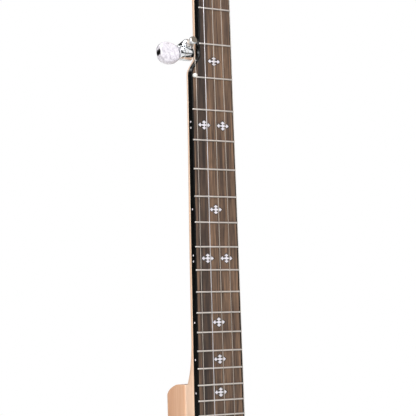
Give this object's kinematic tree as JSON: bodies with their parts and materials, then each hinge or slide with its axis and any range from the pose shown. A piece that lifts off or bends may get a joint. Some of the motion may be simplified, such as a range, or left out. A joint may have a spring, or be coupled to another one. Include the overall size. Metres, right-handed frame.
{
  "type": "five-string banjo",
  "caption": "Open-back five-string banjo: maple neck with bound rosewood board, pearl crosses, geared tuners, round drum pot with hooks, bridge and tailpiece.",
  "frame": {"origin": "the point where a wall hanger takes the neck: on the pot's middle plane, at the face of the nut, level with the top of the fretboard", "axes": "+Z along the neck towards the peghead, -Y is the playing side, +X is the first string's side; the banjo hangs upright"},
  "size_m": [0.3044, 0.0798, 0.948],
  "materials": {
    "maple": "satin lacquered hard maple",
    "rosewood": "open-grained dark wood, oiled",
    "black_binding": "polished black",
    "bone": "polished off-white",
    "pearl": "pearl-effect plastic",
    "inlay_pearl": "white pearl inlay",
    "chrome": "polished plating",
    "nickel": "bright nickel plating",
    "fret_wire": "nickel-silver wire, crowned",
    "steel": "bright steel",
    "string_steel": "plain and wound steel",
    "drumhead": "frosted white film",
    "bridge_maple": "oiled maple with a dark top strip"
  },
  "bodies": {
    "banjo": {"neck": "maple", "fretboard": "rosewood", "fretboard_binding": "black_binding", "nut": "bone", "fifth_string_nut": "bone", "truss_rod": "steel", "peghead_overlay": "rosewood", "truss_rod_cover": "black_binding", "tuner_1_housing": "chrome", "tuner_2_housing": "chrome", "tuner_3_housing": "chrome", "tuner_4_housing": "chrome", "tuner_5_housing": "chrome", "rim": "maple", "tone_ring": "nickel", "head": "drumhead", "flesh_hoop": "nickel", "tension_hoop": "nickel", "coordinator_rod": "steel", "neck_bolt": "steel", "rod_nut": "nickel", "tailpiece_hanger": "nickel", "tailpiece": "nickel", "bridge": "bridge_maple", "bracket_01": "nickel", "bracket_02": "nickel", "bracket_03": "nickel", "bracket_04": "nickel", "bracket_05": "nickel", "bracket_06": "nickel", "bracket_07": "nickel", "bracket_08": "nickel", "bracket_09": "nickel", "bracket_10": "nickel", "bracket_11": "nickel", "bracket_12": "nickel", "bracket_13": "nickel", "bracket_14": "nickel", "bracket_15": "nickel", "bracket_16": "nickel", "string_1": "string_steel", "string_2": "string_steel", "string_3": "string_steel", "string_4": "string_steel", "string_5": "string_steel"},
    "knob_1": {"tuner_1_worm": "chrome", "tuner_1_button": "pearl"},
    "post_1": {"tuner_1_post": "chrome"},
    "knob_2": {"tuner_2_worm": "chrome", "tuner_2_button": "pearl"},
    "post_2": {"tuner_2_post": "chrome"},
    "knob_3": {"tuner_3_worm": "chrome", "tuner_3_button": "pearl"},
    "post_3": {"tuner_3_post": "chrome"},
    "knob_4": {"tuner_4_worm": "chrome", "tuner_4_button": "pearl"},
    "post_4": {"tuner_4_post": "chrome"},
    "knob_5": {"tuner_5_worm": "chrome", "tuner_5_button": "pearl"},
    "post_5": {"tuner_5_post": "chrome"}
  },
  "joints": [
    {"name": "tuner_1_turn", "type": "hinge", "parent": "banjo", "child": "knob_1", "pos_m": [0.0269, 0.03381, 0.05337], "axis": [1, 0, 0], "continuous": true},
    {"name": "tuner_1_wind", "type": "hinge", "parent": "banjo", "child": "post_1", "pos_m": [0.0269, 0.0123, 0.05177], "axis": [0, -0.9744, 0.225], "continuous": true},
    {"name": "tuner_2_turn", "type": "hinge", "parent": "banjo", "child": "knob_2", "pos_m": [0.0269, 0.04821, 0.11573], "axis": [1, 0, 0], "continuous": true},
    {"name": "tuner_2_wind", "type": "hinge", "parent": "banjo", "child": "post_2", "pos_m": [0.0269, 0.02669, 0.11413], "axis": [0, -0.9744, 0.225], "continuous": true},
    {"name": "tuner_3_turn", "type": "hinge", "parent": "banjo", "child": "knob_3", "pos_m": [-0.0171, 0.04533, 0.10326], "axis": [-1, 0, 0], "continuous": true},
    {"name": "tuner_3_wind", "type": "hinge", "parent": "banjo", "child": "post_3", "pos_m": [-0.0171, 0.02669, 0.11413], "axis": [0, -0.9744, 0.225], "continuous": true},
    {"name": "tuner_4_turn", "type": "hinge", "parent": "banjo", "child": "knob_4", "pos_m": [-0.0171, 0.03093, 0.0409], "axis": [-1, 0, 0], "continuous": true},
    {"name": "tuner_4_wind", "type": "hinge", "parent": "banjo", "child": "post_4", "pos_m": [-0.0171, 0.0123, 0.05177], "axis": [0, -0.9744, 0.225], "continuous": true},
    {"name": "tuner_5_turn", "type": "hinge", "parent": "banjo", "child": "knob_5", "pos_m": [-0.0185, 0.01131, -0.14616], "axis": [-1, 0, 0], "continuous": true},
    {"name": "tuner_5_wind", "type": "hinge", "parent": "banjo", "child": "post_5", "pos_m": [-0.0185, 0.01293, -0.13966], "axis": [0, -0.9703, 0.2419], "continuous": true}
  ],
  "couplings": [
    {"joint": "tuner_1_wind", "follows": "tuner_1_turn", "ratio": 0.071429},
    {"joint": "tuner_2_wind", "follows": "tuner_2_turn", "ratio": 0.071429},
    {"joint": "tuner_3_wind", "follows": "tuner_3_turn", "ratio": 0.071429},
    {"joint": "tuner_4_wind", "follows": "tuner_4_turn", "ratio": 0.071429},
    {"joint": "tuner_5_wind", "follows": "tuner_5_turn", "ratio": 0.071429}
  ]
}
